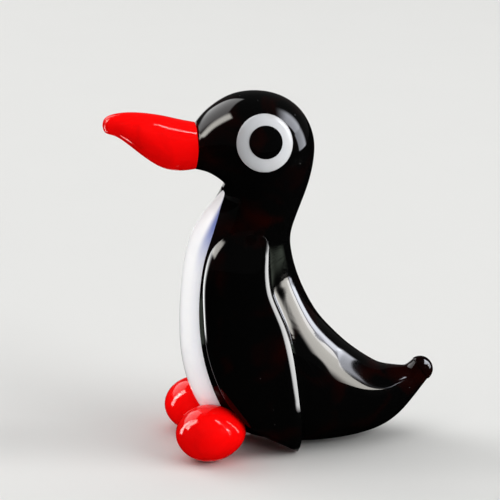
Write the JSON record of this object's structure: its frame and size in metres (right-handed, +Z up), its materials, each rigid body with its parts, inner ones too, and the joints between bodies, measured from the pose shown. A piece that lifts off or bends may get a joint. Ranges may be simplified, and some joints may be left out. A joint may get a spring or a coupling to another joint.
{
  "type": "glass penguin figurine",
  "caption": "Standing penguin figurine of solid lamp-worked glass, with a long upturned beak, domed ring eyes, raised breast stripe, leaf-shaped wings, egg-shaped feet and a knobbed tail.",
  "frame": {"origin": "on the surface that it stands on, at the middle of its overall length and width", "axes": "+Z up, -Y the way the beak points, +X the bird's left side"},
  "size_m": [0.0192, 0.0456, 0.0499],
  "materials": {
    "black_glass": "opaque, fire polished",
    "white_glass": "opaque, fire polished",
    "red_glass": "opaque, fire polished"
  },
  "bodies": {
    "root": {"torso": "black_glass", "head": "black_glass", "tail": "black_glass", "tail_knob": "black_glass", "left_wing": "black_glass", "right_wing": "black_glass", "left_pupil": "black_glass", "right_pupil": "black_glass", "breast_stripe": "white_glass", "left_eye_white": "white_glass", "right_eye_white": "white_glass", "beak": "red_glass", "left_foot": "red_glass", "right_foot": "red_glass"}
  },
  "joints": []
}
